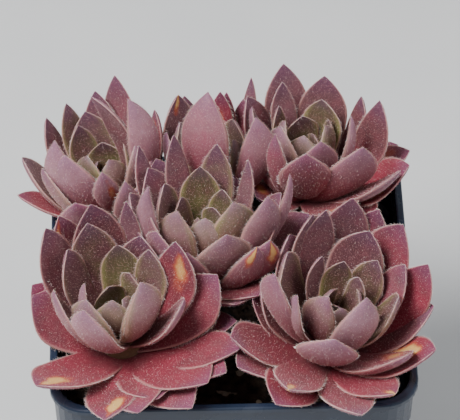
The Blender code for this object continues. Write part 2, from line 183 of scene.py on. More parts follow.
SIDE = 3000.0
floor = mesh_object(
    "floor",
    [(-SIDE, -SIDE, 0), (SIDE, -SIDE, 0), (SIDE, SIDE, 0), (-SIDE, SIDE, 0)],
    [(0, 1, 2, 3)],
)
floor.data.materials.append(paint)
panel("key_panel", (-0.42, -0.25, 0.85), 0.42, 15.0)
panel("fill_panel", (0.7, -0.2, 0.6), 0.6, 3.5)
sky = bpy.data.worlds.new("sky")
sky.use_nodes = True
sky.node_tree.nodes["Background"].inputs["Color"].default_value = colour("#e9edf2")
sky.node_tree.nodes["Background"].inputs["Strength"].default_value = 0.42
bpy.context.scene.world = sky
print("lit by 2 panels and a pale sky")

# %% [markdown]
# ## How the leaves are placed
#
# New leaves come from the heart of a rosette, each turned by the golden angle from the one
# before, so they never line up. The youngest stand straight up and cup over the heart;
# older ones are longer and lean further out. Crowded neighbours spoil the pattern: a leaf
# that meets another rosette, the soil or the rim is pushed upright. The same rule, with the
# same numbers, shaped the plain model.

# %% Sizes of the pot and its soil
GAP = 0.3
RIM_SIDE = 90.0
RIM_CORNER = 9.3
POT_HEIGHT = 80.0
BASE_SIDE = 64.0
BASE_CORNER = 7.5
WALL = 1.1
RIM_WIDTH = 2.0
RIM_DROP = 1.7
RIM_ROUND = 0.5
COLLAR_INSET = 0.8
COLLAR_DROP = 13.0
COLLAR_STEP = 1.4
FLOOR = 1.4
DRAIN_RADIUS = 2.6
DRAIN_RING = 19.0
CORNER_POINTS = 7

SOIL_FRONT_DROP = 15.5
SOIL_BACK_DROP = 12.5
SOIL_MOUND = 1.5
SOIL_RINGS = 6


def rounded_square(half, corner, height):
    """One loop of a square with round corners, counter-clockwise from the front right."""
    loop = []
    for quarter, (sx, sy) in enumerate(((1, -1), (1, 1), (-1, 1), (-1, -1))):
        for step in range(CORNER_POINTS):
            angle = math.radians(90.0 * (quarter - 1) + 90.0 * step / (CORNER_POINTS - 1))
            x = sx * (half - corner) + corner * math.cos(angle)
            y = sy * (half - corner) + corner * math.sin(angle)
            loop.append(Vector((x, y, height)))
    return loop


def stack_faces(loops):
    """Faces of a closed body: a stack of equal loops, capped at both ends."""
    count = len(loops[0])
    faces = [tuple(reversed(range(count)))]
    for level in range(len(loops) - 1):
        low, high = level * count, (level + 1) * count
        for a in range(count):
            b = (a + 1) % count
            faces.append((low + a, low + b, high + b, high + a))
    top = (len(loops) - 1) * count
    faces.append(tuple(top + a for a in range(count)))
    return faces


def pot_wall_half(height, inside):
    """Half the pot's width at a height, on its outer or inner face, below the rim."""
    step_top = POT_HEIGHT - COLLAR_DROP
    collar_low = RIM_SIDE / 2 - COLLAR_INSET - 0.5
    collar_high = RIM_SIDE / 2 - COLLAR_INSET
    if height >= step_top:
        share = (height - step_top) / COLLAR_DROP
        half = collar_low + (collar_high - collar_low) * share
    else:
        share = max(0.0, height / (step_top - COLLAR_STEP))
        half = BASE_SIDE / 2 + (collar_low - COLLAR_STEP - BASE_SIDE / 2) * min(1.0, share)
    return half - WALL if inside else half


def pot_corner(half):
    """Corner radius that goes with a half width."""
    share = (half - BASE_SIDE / 2) / (RIM_SIDE / 2 - BASE_SIDE / 2)
    return BASE_CORNER + (RIM_CORNER - BASE_CORNER) * share


def soil_height(x, y):
    """Height of the soil's surface: lower at the front, gently mounded."""
    half = RIM_SIDE / 2
    back = (y / half + 1.0) / 2.0
    drop = SOIL_FRONT_DROP + (SOIL_BACK_DROP - SOIL_FRONT_DROP) * back
    edge = max(abs(x), abs(y)) / half
    return POT_HEIGHT - drop + SOIL_MOUND * (1.0 - edge**2)


print("pot", RIM_SIDE, "mm square and", POT_HEIGHT, "mm tall")

# %% Sizes of a leaf and of a rosette
GOLDEN_ANGLE = 137.508
STATIONS = (0.0, 0.28, 0.56, 0.8, 1.0)
FILLING_STATIONS = (0.0, 0.4, 0.72, 1.0)
YOUNG_LENGTH = 24.0
LEAST_WIDTH = 5.4
WIDTH_GROWTH = 0.28
WIDEST_AT = 0.62
BASE_WIDTH_SHARE = 0.6
POINTEDNESS = 2.0
THICKNESS = 2.9
TIP_THICKNESS = 0.8
DISH_SHARE = 0.16
YOUNG_LENGTH_SHARE = 0.24
GROWTH_LEAVES = 8.0
LATE_AGE = 0.65
LATE_SHORTENING = 0.12

LEAVES = 36
BUD_LEAVES = 5
SAME_BEARING = 22.0
SAME_LENGTH = 5.0
PITCH = 0.36
LOWEST_SEAT = 20
CORE_TOP_RADIUS = 1.8
CORE_RADIUS = 5.6
CORE_SIDES = 9
STEM_RADIUS = 3.4
STEM_DEPTH = 10.0
SEAT_START = 0.8
SEAT_STEP = 0.13
HEART_RISE = 86.5
MIDDLE_RISE = 33.0
RISE_POWER = 0.66
LATE_DROP = 25.0
FLAT_RISE = 12.0
BEND_GROWTH = 1.15
MOST_BEND = 70.0
TWIST = 9.0
FULL_TWIST_AT = 0.6
CLEAR = 0.4
OUTLINE_PARTS = 5
RAISE_STEP = 2.0
STEEPEST = 88.0
SHORTEN = 0.94
SHORTEST = 11.0
STANDING_LIFT = 90.0
FILLING_LIFT = 8.0
print("leaves are up to", LEAST_WIDTH + WIDTH_GROWTH * 36.0, "mm wide")

# %% Where the rosettes stand
# Each rosette: foot of its heart (x, y, height over the rim), lean towards +X and +Y,
# bearing of its youngest leaf, the way its spiral turns, and its longest leaf.
ROSETTES = {
    "rosette_front_left": dict(
        heart=(-27.5, -20.5, 4.0), lean=(-5.0, -3.0), first=209.0, turn=1, leaf=33.0
    ),
    "rosette_front_right": dict(
        heart=(24.0, -21.5, 3.5), lean=(12.0, -8.0), first=58.0, turn=-1, leaf=33.0
    ),
    "rosette_centre": dict(
        heart=(-6.0, 2.0, 7.5), lean=(0.0, 3.0), first=319.0, turn=-1, leaf=33.0
    ),
    "rosette_back_right": dict(
        heart=(20.5, 31.0, 8.0), lean=(0.0, 6.0), first=162.0, turn=-1, leaf=32.0
    ),
    "rosette_back_left": dict(
        heart=(-30.0, 25.0, 6.0), lean=(-8.0, 8.0), first=35.0, turn=1, leaf=31.0
    ),
    "rosette_back_centre": dict(
        heart=(-3.0, 28.5, 6.0), lean=(0.0, 6.0), first=147.0, turn=1, leaf=31.0
    ),
}
print(len(ROSETTES), "rosettes")

# %% [markdown]
# ## Leaves that stand out
#
# On a real clump some leaves have grown their own way: one hangs over the rim, some are
# squeezed upright between two rosettes, an old one sprawls over the side. They are named
# one by one, from the heart outwards, and the golden angle fills in the rest.

# %% Leaves that stand out
# Bearing, rise, length, breadth against the usual, and turn about its own length.
STANDING_OUT = {
    "rosette_front_left": (
        (-46, 68, 28, 0.85, -5), (194, 72, 22, 0.5, 4), (82, 66, 24, 0.85, 7),
        (34, 65, 26, 0.75, 20), (244, 60, 30, 0.85, -5), (-24, 48, 28, 0.75, 4),
        (146, 64, 29, 0.8, 7), (112, 63, 32, 0.88, -3), (12, 62, 35, 0.78, 45),
        (2, 40, 33, 1.0, 50), (104, 61, 37, 0.9, 7), (146, 61, 38, 0.78, -3),
        (168, 30, 27, 1.2, -30), (-82, 20, 34, 1.0, 4), (232, 28, 36, 1.0, 7),
        (-50, 22, 36, 1.05, -3), (160, 30, 28, 1.1, -30), (264, 20, 36, 0.8, 4),
        (-60, 16, 36, 0.85, 7), (-40, 20, 36, 0.85, -3), (-4, 16, 30, 0.9, -5),
        (126, 55, 37, 0.75, 4), (78, 58, 37, 0.38, 7), (-28, 22, 36, 0.9, -3),
    ),
    "rosette_front_right": (
        (92, 67, 20, 0.7, -5), (44, 78, 20, 0.5, 4), (224, 72, 22, 0.85, 7),
        (128, 65, 23, 0.45, -3), (208, 58, 28, 0.55, -5), (46, 64, 25, 0.75, 4),
        (-76, 72, 32, 0.85, 7), (70, 63, 31, 0.98, -3), (194, 56, 36, 0.7, 30),
        (20, 62, 31, 0.7, 4), (258, 54, 30, 1.1, 7), (112, 61, 36, 0.6, -3),
        (48, 61, 38, 0.92, -5), (122, 60, 36, 0.6, 4), (90, 59, 39, 0.88, 7),
        (12, 59, 37, 0.78, 35), (-50, 46, 34, 0.9, -5), (244, 30, 36, 0.78, 4),
        (-36, 42, 36, 0.95, 7), (208, 30, 36, 0.85, -3), (242, 20, 36, 0.9, -5),
        (-84, 30, 40, 0.75, 4), (-66, 34, 36, 0.8, 7), (174, 30, 24, 0.9, -3),
        (70, 54, 37, 0.85, -5), (218, 22, 34, 0.9, 4),
    ),
    "rosette_centre": (
        (-28, 70, 22, 1.0, -45), (144, 66, 18, 0.75, 4), (58, 65, 19, 0.7, 7),
        (216, 68, 23, 0.85, 30), (96, 64, 25, 0.85, -5), (-76, 54, 33, 1.05, 4),
        (-20, 60, 32, 0.68, -50), (78, 62, 32, 0.62, -3), (44, 61, 31, 0.38, -5),
        (256, 50, 32, 0.65, 4), (114, 59, 36, 0.45, 7), (-4, 58, 39, 0.34, -30),
        (198, 62, 36, 0.36, 50), (-52, 48, 37, 0.68, -30), (-60, 48, 36, 0.55, -20),
        (140, 55, 37, 0.42, -3), (-74, 24, 28, 0.95, -5), (-62, 18, 30, 0.85, 4),
    ),
    "rosette_back_right": (
        (30, 67, 16, 0.65, -5), (-80, 56, 26, 0.85, 4), (144, 65, 21, 0.65, 7),
        (-28, 64, 27, 0.36, -3), (120, 63, 27, 0.55, -5), (266, 50, 35, 0.9, 4),
        (70, 61, 29, 0.95, 7), (-58, 50, 37, 0.85, -20), (238, 60, 33, 0.45, -5),
        (-8, 59, 35, 0.68, 50), (26, 58, 29, 0.52, 7), (108, 57, 33, 0.8, -3),
        (-34, 34, 36, 0.85, 30), (-46, 36, 39, 0.58, 4), (-74, 28, 34, 0.85, 7),
    ),
    "rosette_back_left": (
        (130, 67, 21, 0.75, -5), (-86, 52, 26, 0.52, 4), (238, 60, 29, 0.88, 15),
        (0, 90, 34, 0.6, 45), (-18, 74, 36, 0.58, -40), (124, 62, 30, 0.55, 4),
        (226, 66, 34, 0.65, 20), (92, 60, 32, 0.65, -3), (74, 60, 36, 0.6, -5),
        (146, 59, 31, 0.55, 4), (54, 58, 24, 0.5, 7), (-70, 50, 30, 0.5, -3),
        (32, 56, 30, 0.55, -5), (190, 16, 27, 0.8, 4), (258, 42, 36, 0.9, 7),
    ),
    "rosette_back_centre": (
        (248, 74, 34, 0.88, -5), (82, 65, 26, 0.52, 4), (-34, 68, 32, 0.66, -50),
        (76, 62, 28, 0.42, -3), (140, 60, 32, 0.8, -5), (58, 58, 34, 0.3, 4),
        (118, 56, 29, 0.65, 7), (62, 55, 28, 0.5, -3),
    ),
}
print(sum(len(v) for v in STANDING_OUT.values()), "leaves stand out")

# %% [markdown]
# ## The line of one leaf
#
# A leaf leaves the stem almost flat and curves up towards its tip, more so the younger it
# is. Seen from above it is a spoon: narrow at the root, widest at two thirds, pointed.

# %% Outline and thickness of a leaf
def leaf_half_width(share):
    """Half width along a leaf, as a share of its greatest: spoon-shaped with a point."""
    if share <= WIDEST_AT:
        grown = math.sin(0.5 * math.pi * share / WIDEST_AT)
        return BASE_WIDTH_SHARE + (1.0 - BASE_WIDTH_SHARE) * grown
    past = (share - WIDEST_AT) / (1.0 - WIDEST_AT)
    return 1.0 - past**POINTEDNESS


def leaf_thickness(share):
    """Thickness along a leaf, in millimetres."""
    return TIP_THICKNESS + (THICKNESS - TIP_THICKNESS) * (1.0 - share**2.4)


print("half width at the middle", round(leaf_half_width(0.5), 2))

# %% A leaf's place, curve and cross-sections
class Leaf:
    """One leaf's place and size, in its rosette's own frame."""

    def __init__(self, rosette, number, rng, standing_out=None):
        age = number / (LEAVES - 1)
        self.age = age
        late = max(0.0, (age - LATE_AGE) / (1.0 - LATE_AGE))
        young = (1.0 - YOUNG_LENGTH_SHARE) * math.exp(-number / GROWTH_LEAVES)
        if standing_out is None:
            self.bearing = rosette["first"] + rosette["turn"] * GOLDEN_ANGLE * number
            self.length = rosette["leaf"] * (1.0 - young) * (1.0 - LATE_SHORTENING * late)
            self.rise = HEART_RISE + (MIDDLE_RISE - HEART_RISE) * age**RISE_POWER
            self.rise -= LATE_DROP * late**1.5
            self.breadth = 1.0
            self.shares = FILLING_STATIONS
            self.twist = rng.uniform(-TWIST, TWIST) * min(1.0, number / 8.0)
        else:
            self.bearing, self.rise, self.length, self.breadth, self.twist = standing_out
            self.shares = STATIONS if self.length > YOUNG_LENGTH else FILLING_STATIONS
        self.half = 0.5 * self.breadth * (LEAST_WIDTH + WIDTH_GROWTH * self.length)
        self.seat = SEAT_START + SEAT_STEP * number
        across = self.length * math.cos(math.radians(self.rise)) - self.seat
        upward = self.length * math.sin(math.radians(self.rise))
        self.rise = math.degrees(math.atan2(upward, across))
        self.bend = min(MOST_BEND, BEND_GROWTH * (self.rise - FLAT_RISE))
        half_turn = math.radians(0.5 * self.bend)
        self.length = math.hypot(across, upward)
        self.length *= half_turn / math.sin(half_turn) if abs(half_turn) > 0.01 else 1.0
        self.drop = PITCH * min(number, LOWEST_SEAT)
        self.size = min(1.0, self.length / rosette["leaf"] + 0.1)

    def like(self, other):
        """Whether another leaf already fills this one's place."""
        turn = abs((self.bearing - other.bearing + 180.0) % 360.0 - 180.0)
        return turn < SAME_BEARING and abs(self.length - other.length) < SAME_LENGTH

    def stations(self, frame, shares):
        """Middle, side and upward directions at shares of the length, in the pot's frame."""
        bearing = math.radians(self.bearing)
        out = Vector((math.cos(bearing), math.sin(bearing), 0.0))
        along = Vector((-math.sin(bearing), math.cos(bearing), 0.0))
        found = []
        point = out * self.seat - Vector((0.0, 0.0, self.drop))
        before = 0.0
        for share in shares:
            angle = math.radians(self.rise + self.bend * (0.5 * (share + before) - 0.5))
            step = (share - before) * self.length
            point = point + (out * math.cos(angle) + Vector((0, 0, math.sin(angle)))) * step
            before = share
            angle = math.radians(self.rise + self.bend * (share - 0.5))
            forward = out * math.cos(angle) + Vector((0, 0, math.sin(angle)))
            turn = math.radians(self.twist * min(1.0, share / FULL_TWIST_AT))
            side = Matrix.Rotation(turn, 3, forward) @ along
            up = side.cross(forward) * -1.0
            turned = frame.to_3x3()
            found.append((frame @ point, turned @ side, turned @ up))
        return found

    def sections(self, frame):
        """Five-cornered cross-sections from root to tip, the last one being the tip."""
        loops = []
        for share, (middle, side, up) in zip(self.shares, self.stations(frame, self.shares)):
            width = self.half * leaf_half_width(share)
            thick = leaf_thickness(share) * self.size
            dish = DISH_SHARE * width
            loops.append(
                [
                    middle + side * width + up * dish,
                    middle + up * 0.3 * thick,
                    middle - side * width + up * dish,
                    middle - side * 0.5 * width - up * 0.62 * thick,
                    middle + side * 0.5 * width - up * 0.62 * thick,
                ]
            )
        loops[-1] = [middle] * len(loops[0])
        return loops

    def outline(self, frame):
        """Points of the leaf's surface that have to stay clear of other things."""
        points = []
        loops = self.sections(frame)
        for low, high in zip(loops, loops[1:]):
            for part in range(1, OUTLINE_PARTS + 1):
                share = part / OUTLINE_PARTS
                points.extend(a.lerp(b, share) for a, b in zip(low, high))
        return points[len(points) // 4 :]

    def solid(self, frame):
        """Points and faces of the leaf's closed body."""
        loops = self.sections(frame)
        tip = loops.pop()[0]
        count = len(loops[0])
        points = [p for loop in loops for p in loop] + [tip]
        faces = [tuple(reversed(range(count)))]
        for level in range(len(loops) - 1):
            low, high = level * count, (level + 1) * count
            for a in range(count):
                b = (a + 1) % count
                faces.append((low + a, low + b, high + b))
                faces.append((low + a, high + b, high + a))
        last = (len(loops) - 1) * count
        for a in range(count):
            faces.append((last + a, last + (a + 1) % count, len(points) - 1))
        return points, faces


print("leaf rule ready")

# %% [markdown]
# ## Room between neighbours
#
# Crowded rosettes push each other's leaves about. A leaf that would run through a leaf or a
# stem of another rosette, the soil or the rim is raised a little at a time until it is
# clear, and only then made shorter. A search tree finds what it would touch.

# %% Settling a leaf among its neighbours
def rosette_frame(rosette):
    """The rosette's own frame: leaning, with its origin at the foot of its heart."""
    x, y, height = rosette["heart"]
    lean_x, lean_y = (math.radians(a) for a in rosette["lean"])
    lean = Vector((lean_x, lean_y, 0.0))
    axis = Vector((-lean_y, lean_x, 0.0))
    turn = Matrix.Identity(4)
    if lean.length > 0.0:
        turn = Matrix.Rotation(lean.length, 4, axis.normalized())
    return Matrix.Translation((x, y, POT_HEIGHT + height)) @ turn


def buried(point):
    """Whether a point is in the soil or in the pot's wall."""
    half = RIM_SIDE / 2
    reach = max(abs(point.x), abs(point.y))
    if reach < half - RIM_WIDTH - CLEAR:
        return point.z < soil_height(point.x, point.y) + CLEAR
    if reach < half + CLEAR:
        return point.z < POT_HEIGHT + CLEAR
    return False


def solid_tree(bodies):
    """A search tree of closed bodies, each given as points and faces."""
    points, faces = [], []
    for body_points, body_faces in bodies:
        first = len(points)
        points.extend(body_points)
        faces.extend([first + k for k in face] for face in body_faces)
    return BVHTree.FromPolygons(points, faces, epsilon=CLEAR)


def settle(leaf, frame, neighbours, lift):
    """Raises a leaf until it is clear of what surrounds it, and shortens it if need be."""
    wanted = leaf.rise
    highest = max(min(STEEPEST, wanted + lift), wanted + 2 * RAISE_STEP)

    def blocked():
        if any(buried(point) for point in leaf.outline(frame)):
            return True
        return bool(solid_tree([leaf.solid(frame)]).overlap(neighbours))

    while blocked():
        leaf.rise += RAISE_STEP
        if leaf.rise > highest:
            leaf.rise = wanted
            leaf.length *= SHORTEN
            if leaf.length < SHORTEST:
                return False
    return True


def standing_leaves(name, rng):
    """The leaves of a rosette that stand out, from the heart outwards."""
    rosette = ROSETTES[name]
    seen = STANDING_OUT[name]
    spread = (LEAVES - 1 - BUD_LEAVES) / len(seen)
    numbers = [BUD_LEAVES + spread * place for place in range(len(seen))]
    return [Leaf(rosette, number, rng, row) for number, row in zip(numbers, seen)]


def filling_leaves(name, rng, standing):
    """The leaves that the spiral adds where none that stands out fills the place."""
    rosette = ROSETTES[name]
    spiral = [Leaf(rosette, number, rng) for number in range(LEAVES)]
    return [leaf for leaf in spiral if not any(leaf.like(other) for other in standing)]


def core_loops(name, sides):
    """Rings of the short stem: an upright root in the soil and a leaning core above it."""
    rosette = ROSETTES[name]
    frame = rosette_frame(rosette)
    x, y, _ = rosette["heart"]
    ring = [math.radians(360.0 * k / sides) for k in range(sides)]
    foot = soil_height(x, y) - STEM_DEPTH
    levels = [
        (CORE_RADIUS, -PITCH * LOWEST_SEAT - 3.0),
        (CORE_RADIUS, -PITCH * LOWEST_SEAT * 0.6),
        (0.5 * (CORE_TOP_RADIUS + CORE_RADIUS), 0.6),
        (CORE_TOP_RADIUS, 2.4),
    ]
    loops = []
    for z in (foot, soil_height(x, y) + GAP):
        loops.append(
            [Vector((x + STEM_RADIUS * math.cos(a), y + STEM_RADIUS * math.sin(a), z)) for a in ring]
        )
    for radius, z in levels:
        loops.append([frame @ Vector((radius * math.cos(a), radius * math.sin(a), z)) for a in ring])
    return loops


def all_leaves():
    """Leaves of every rosette: first those that stand out, then those that fill in."""
    cores, frames, chance = {}, {}, {}
    for name, rosette in ROSETTES.items():
        loops = core_loops(name, CORE_SIDES)
        cores[name] = ([p for loop in loops for p in loop], stack_faces(loops))
        frames[name] = rosette_frame(rosette)
        chance[name] = random.Random(name)
    grown = {name: [] for name in ROSETTES}
    for lift in (STANDING_LIFT, FILLING_LIFT):
        for name in ROSETTES:
            others = [core for other, core in cores.items() if other != name]
            for other, leaves in grown.items():
                if other != name:
                    others.extend(leaf.solid(frames[other]) for leaf in leaves)
            neighbours = solid_tree(others)
            if lift == STANDING_LIFT:
                wanted = standing_leaves(name, chance[name])
            else:
                wanted = filling_leaves(name, chance[name], grown[name])
            for leaf in wanted:
                if settle(leaf, frames[name], neighbours, lift):
                    grown[name].append(leaf)
    return grown



print("settling rule ready")

# %% [markdown]
# ## A skin for every leaf
#
# Each leaf could be modelled by hand, but there are well over a hundred, all on one plan.
# So a script lays down only the middle line of each leaf, and marks on it how wide, how
# thick and how hollow the leaf is there. Geometry Nodes then sweep a ring along all the
# lines at once and push it out to the marked size.

# %% Helpers for Geometry Nodes


def new_geometry_tree(name, inputs):
    """An empty node tree with a geometry in and out and the named inputs."""
    tree = bpy.data.node_groups.new(name, "GeometryNodeTree")
    tree.interface.new_socket("Geometry", in_out="INPUT", socket_type="NodeSocketGeometry")
    for label, kind in inputs.items():
        tree.interface.new_socket(label, in_out="INPUT", socket_type="NodeSocket" + kind)
    tree.interface.new_socket("Geometry", in_out="OUTPUT", socket_type="NodeSocketGeometry")
    return tree, add(tree, "NodeGroupInput").outputs


def close_tree(tree, geometry, surface):
    """Ends a tree: instances made real, and one material on everything."""
    real = add(tree, "GeometryNodeRealizeInstances", Geometry=geometry)
    dressed = add(tree, "GeometryNodeSetMaterial", Geometry=real.outputs[0], Material=surface)
    add(tree, "NodeGroupOutput", _0=dressed.outputs[0])


def grow(source, tree, values, name):
    """Runs a tree on an object and returns the result as a plain mesh object."""
    modifier = source.modifiers.new("grow", "NODES")
    modifier.node_group = tree
    sockets = {s.name: s.identifier for s in tree.interface.items_tree if s.in_out == "INPUT"}
    for label, value in values.items():
        modifier[sockets[label]] = value
    graph = bpy.context.evaluated_depsgraph_get()
    graph.update()
    solid = source.evaluated_get(graph)
    mesh = bpy.data.meshes.new_from_object(solid, preserve_all_data_layers=True, depsgraph=graph)
    mesh.name = name
    source.modifiers.clear()
    made = bpy.data.objects.new(name, mesh)
    bpy.context.scene.collection.objects.link(made)
    return made


def attribute(tree, name, kind="FLOAT"):
    """A value that is stored on the points."""
    node = add(tree, "GeometryNodeInputNamedAttribute", {"data_type": kind}, Name=name)
    return node.outputs["Attribute"]


def calc(tree, operation, a, b=None):
    """One step of arithmetic on numbers."""
    return add(tree, "ShaderNodeMath", {"operation": operation}, _0=a, _1=b).outputs[0]


def vector_calc(tree, operation, a, b=None, scale=None):
    """One step of arithmetic on vectors."""
    node = add(tree, "ShaderNodeVectorMath", {"operation": operation}, _0=a, _1=b, _3=scale)
    return node.outputs[0]


print("helpers ready")

# %% The skin tree
TOP_BULGE = 0.3
UNDER_BULGE = 0.62

skin_tree, given = new_geometry_tree(
    "leaf_skin", {"Ring points": "Int", "Weld distance": "Float", "Surface": "Material"}
)
lines = add(skin_tree, "GeometryNodeMeshToCurve", Mesh=given["Geometry"]).outputs[0]
ring = add(
    skin_tree,
    "GeometryNodeCurvePrimitiveCircle",
    {"mode": "RADIUS"},
    Resolution=given["Ring points"],
    Radius=1.0,
).outputs[0]
spot = add(skin_tree, "GeometryNodeInputPosition").outputs[0]
parts = add(skin_tree, "ShaderNodeSeparateXYZ", _0=spot).outputs
for label, value in (("across", parts[0]), ("over", parts[1])):
    ring = add(
        skin_tree, "GeometryNodeStoreNamedAttribute", Geometry=ring, Name=label, Value=value
    ).outputs[0]
tube = add(
    skin_tree, "GeometryNodeCurveToMesh", Curve=lines, Profile_Curve=ring, Fill_Caps=True
).outputs[0]
across, over = attribute(skin_tree, "across"), attribute(skin_tree, "over")
sideways = calc(skin_tree, "MULTIPLY", attribute(skin_tree, "half"), across)
hollow = calc(skin_tree, "MULTIPLY", across, across)
hollow = calc(skin_tree, "MULTIPLY", hollow, attribute(skin_tree, "dish"))
lean = calc(skin_tree, "MULTIPLY", calc(skin_tree, "SIGN", over), 0.5 * (UNDER_BULGE - TOP_BULGE))
bulge = calc(skin_tree, "SUBTRACT", 0.5 * (UNDER_BULGE + TOP_BULGE), lean)
body = calc(skin_tree, "MULTIPLY", calc(skin_tree, "MULTIPLY", over, bulge), attribute(skin_tree, "thick"))
upward = calc(skin_tree, "ADD", hollow, body)
side_step = vector_calc(skin_tree, "SCALE", attribute(skin_tree, "side", "FLOAT_VECTOR"), scale=sideways)
up_step = vector_calc(skin_tree, "SCALE", attribute(skin_tree, "up", "FLOAT_VECTOR"), scale=upward)
step = vector_calc(skin_tree, "ADD", side_step, up_step)
target = vector_calc(skin_tree, "ADD", attribute(skin_tree, "middle", "FLOAT_VECTOR"), step)
shaped = add(skin_tree, "GeometryNodeSetPosition", Geometry=tube, Position=target).outputs[0]
closed = add(
    skin_tree, "GeometryNodeMergeByDistance", Geometry=shaped, Distance=given["Weld distance"]
).outputs[0]
smooth = add(skin_tree, "GeometryNodeSetShadeSmooth", _0=closed).outputs[0]
close_tree(skin_tree, smooth, given["Surface"])
print("skin tree has", len(skin_tree.nodes), "nodes")

# %% [markdown]
# ## Which leaf has what colour
#
# Sun, age and health differ from leaf to leaf. Leaves in the shade of the heart are olive,
# those that face the sun turn crimson, and upright ones keep a thick grey-mauve bloom. A
# few old leaves ripen to orange or yellow in one place before they dry. Each leaf that
# stands out has its own redness and bloom; the others take their redness from their age
# and their bloom at random.

# %% Redness and bloom of the leaves that stand out
TINTS = {
    "rosette_front_left": (
        (0.3, 0.75), (0.45, 0.9), (0.1, 0.35), (0.3, 0.7), (0.6, 0.95), (0.7, 0.9),
        (0.45, 0.45), (0.4, 0.3), (0.85, 0.2), (0.85, 0.4), (0.6, 0.2), (0.65, 0.6),
        (0.85, 0.45), (1.0, 0.45), (1.0, 0.35), (1.0, 0.25), (1.15, 0.1), (0.9, 0.3),
        (0.9, 0.5), (0.95, 0.2), (0.85, 0.15), (0.8, 0.1), (0.6, 0.9), (0.9, 0.3),
    ),
    "rosette_front_right": (
        (0.25, 0.3), (0.35, 0.8), (0.4, 0.45), (0.5, 0.9), (0.5, 0.8), (0.35, 0.4),
        (0.5, 0.95), (0.55, 0.45), (0.8, 0.6), (0.8, 0.75), (0.75, 0.95), (0.6, 0.7),
        (0.85, 0.35), (0.5, 0.6), (0.65, 0.7), (1.0, 0.2), (0.9, 0.3), (0.9, 0.45),
        (1.2, 0.1), (0.95, 0.25), (1.1, 0.1), (0.85, 0.5), (1.1, 0.2), (0.85, 0.15),
        (0.75, 0.2), (0.9, 0.3),
    ),
    "rosette_centre": (
        (0.1, 0.35), (0.3, 0.5), (0.15, 0.3), (0.3, 0.55), (0.15, 0.2), (0.4, 0.6),
        (0.5, 0.75), (0.35, 0.6), (0.5, 0.9), (0.65, 0.3), (0.6, 0.8), (0.6, 0.9),
        (0.6, 0.85), (0.9, 0.35), (0.75, 0.35), (0.6, 0.9), (0.9, 0.2), (0.9, 0.15),
    ),
    "rosette_back_right": (
        (0.15, 0.2), (0.7, 0.45), (0.35, 0.15), (0.5, 0.9), (0.55, 0.8), (0.8, 0.2),
        (0.55, 0.45), (0.75, 0.6), (0.85, 0.2), (0.65, 0.3), (0.6, 0.3), (0.6, 0.65),
        (0.95, 0.1), (0.8, 0.8), (0.9, 0.1),
    ),
    "rosette_back_left": (
        (0.3, 0.3), (0.65, 0.7), (0.65, 0.8), (0.6, 0.6), (0.7, 0.8), (0.35, 0.3),
        (0.5, 0.8), (0.55, 0.5), (0.7, 0.7), (0.65, 0.5), (0.6, 0.6), (0.5, 0.6),
        (0.8, 0.2), (1.15, 0.1), (0.9, 0.3),
    ),
    "rosette_back_centre": (
        (0.75, 0.45), (0.95, 0.15), (0.65, 0.6), (0.9, 0.15), (0.5, 0.7), (0.5, 0.9),
        (0.6, 0.5), (0.8, 0.25),
    ),
}

# Ripe patches, by leaf: how far along it, how far across, and how strong.
RIPE = {
    "rosette_front_left": {
        9: (0.72, -0.2, 0.9),
        15: (0.8, 0.1, 1.4),
        18: (0.78, 0.3, 1.3),
        22: (0.8, 0.5, 1.0),
    },
    "rosette_front_right": {
        17: (0.6, 0.6, 0.8),
        18: (0.98, 0.0, 1.5),
        19: (0.62, 0.3, 1.5),
        23: (0.97, 0.0, 1.4),
    },
    "rosette_centre": {14: (0.9, 0.5, 1.3), 15: (0.92, -0.4, 1.1)},
    "rosette_back_right": {3: (0.6, 0.0, 0.5), 13: (0.6, -0.4, 0.7), 15: (0.7, 0.0, 0.8)},
    "rosette_back_left": {2: (0.7, 0.4, 0.7), 13: (0.7, 0.0, 0.9)},
    "rosette_back_centre": {2: (0.6, 0.0, 0.9), 4: (0.6, 0.0, 0.7), 5: (0.98, 0.0, 1.2)},
}
print(sum(len(v) for v in RIPE.values()), "leaves have a ripe patch")

# %% Lines for the leaves, with their sizes marked on them
LINE_POINTS = 22
TIP_SHARPNESS = 0.06
OLD_AGE = 0.6
RIPE_CHANCE = 0.3
LEAF_MARKS = ("side", "up", "half", "thick", "dish", "along")
LEAF_TINTS = ("red", "bloom", "ripe_along", "ripe_across", "ripeness")


def leaf_shares():
    """Stations along a fine leaf, closer together towards the tip."""
    return [1.0 - (1.0 - k / (LINE_POINTS - 1)) ** 1.35 for k in range(LINE_POINTS)]


def mark(mesh, name, kind, values):
    """Stores one value for each point of a mesh."""
    stored = mesh.attributes.new(name, kind, "POINT")
    field = "vector" if kind == "FLOAT_VECTOR" else "value"
    flat = [c for v in values for c in v] if kind == "FLOAT_VECTOR" else values
    stored.data.foreach_set(field, flat)


